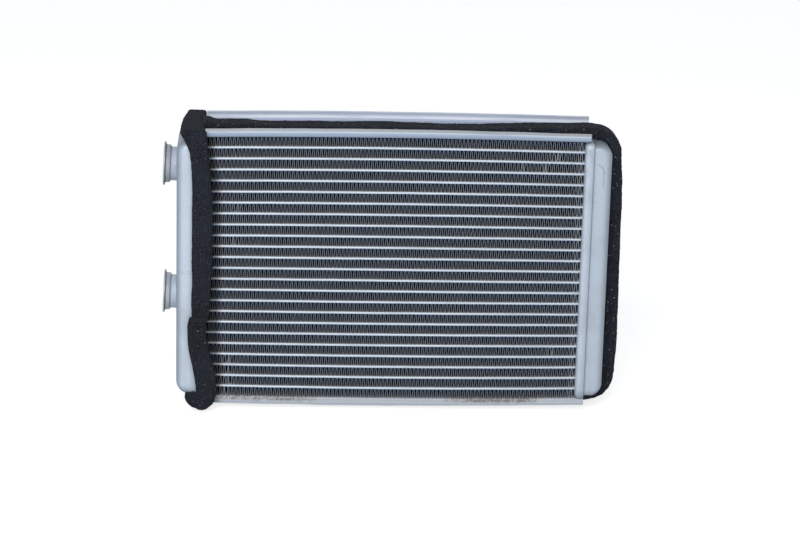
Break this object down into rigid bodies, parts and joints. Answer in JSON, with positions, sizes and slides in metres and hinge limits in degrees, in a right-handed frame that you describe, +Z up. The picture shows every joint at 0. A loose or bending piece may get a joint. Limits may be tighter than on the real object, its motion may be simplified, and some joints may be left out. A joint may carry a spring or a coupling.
{
  "type": "heater core",
  "caption": "Heater core: a brazed stack of flat tubes and folded fins between header tanks, with flanged pipe stubs on one end, channel side plates and foam seals round the edges",
  "frame": {"origin": "middle of the bounding box in X and Y, at its lowest point in Z", "axes": "X runs along the tubes with the pipe stubs at -X, -Y is the front face, +Z is up across the rows of tubes"},
  "size_m": [0.2676, 0.057, 0.1714],
  "materials": {
    "aluminium": "satin",
    "fin_aluminium": "satin",
    "foam": "matte"
  },
  "bodies": {
    "root": {"tube_01": "aluminium", "tube_02": "aluminium", "tube_03": "aluminium", "tube_04": "aluminium", "tube_05": "aluminium", "tube_06": "aluminium", "tube_07": "aluminium", "tube_08": "aluminium", "tube_09": "aluminium", "tube_10": "aluminium", "tube_11": "aluminium", "tube_12": "aluminium", "tube_13": "aluminium", "tube_14": "aluminium", "tube_15": "aluminium", "tube_16": "aluminium", "tube_17": "aluminium", "tube_18": "aluminium", "tube_19": "aluminium", "tube_20": "aluminium", "tube_21": "aluminium", "tube_22": "aluminium", "tube_23": "aluminium", "fin_01": "fin_aluminium", "fin_02": "fin_aluminium", "fin_03": "fin_aluminium", "fin_04": "fin_aluminium", "fin_05": "fin_aluminium", "fin_06": "fin_aluminium", "fin_07": "fin_aluminium", "fin_08": "fin_aluminium", "fin_09": "fin_aluminium", "fin_10": "fin_aluminium", "fin_11": "fin_aluminium", "fin_12": "fin_aluminium", "fin_13": "fin_aluminium", "fin_14": "fin_aluminium", "fin_15": "fin_aluminium", "fin_16": "fin_aluminium", "fin_17": "fin_aluminium", "fin_18": "fin_aluminium", "fin_19": "fin_aluminium", "fin_20": "fin_aluminium", "fin_21": "fin_aluminium", "fin_22": "fin_aluminium", "fin_23": "fin_aluminium", "fin_24": "fin_aluminium", "left_header": "aluminium", "right_header": "aluminium", "left_tank": "aluminium", "right_tank": "aluminium", "upper_stub": "aluminium", "lower_stub": "aluminium", "tank_baffle": "aluminium", "top_side_plate": "aluminium", "bottom_side_plate": "aluminium", "perimeter_seal": "foam", "left_seal_upper": "foam", "left_seal_lower": "foam"}
  },
  "joints": []
}
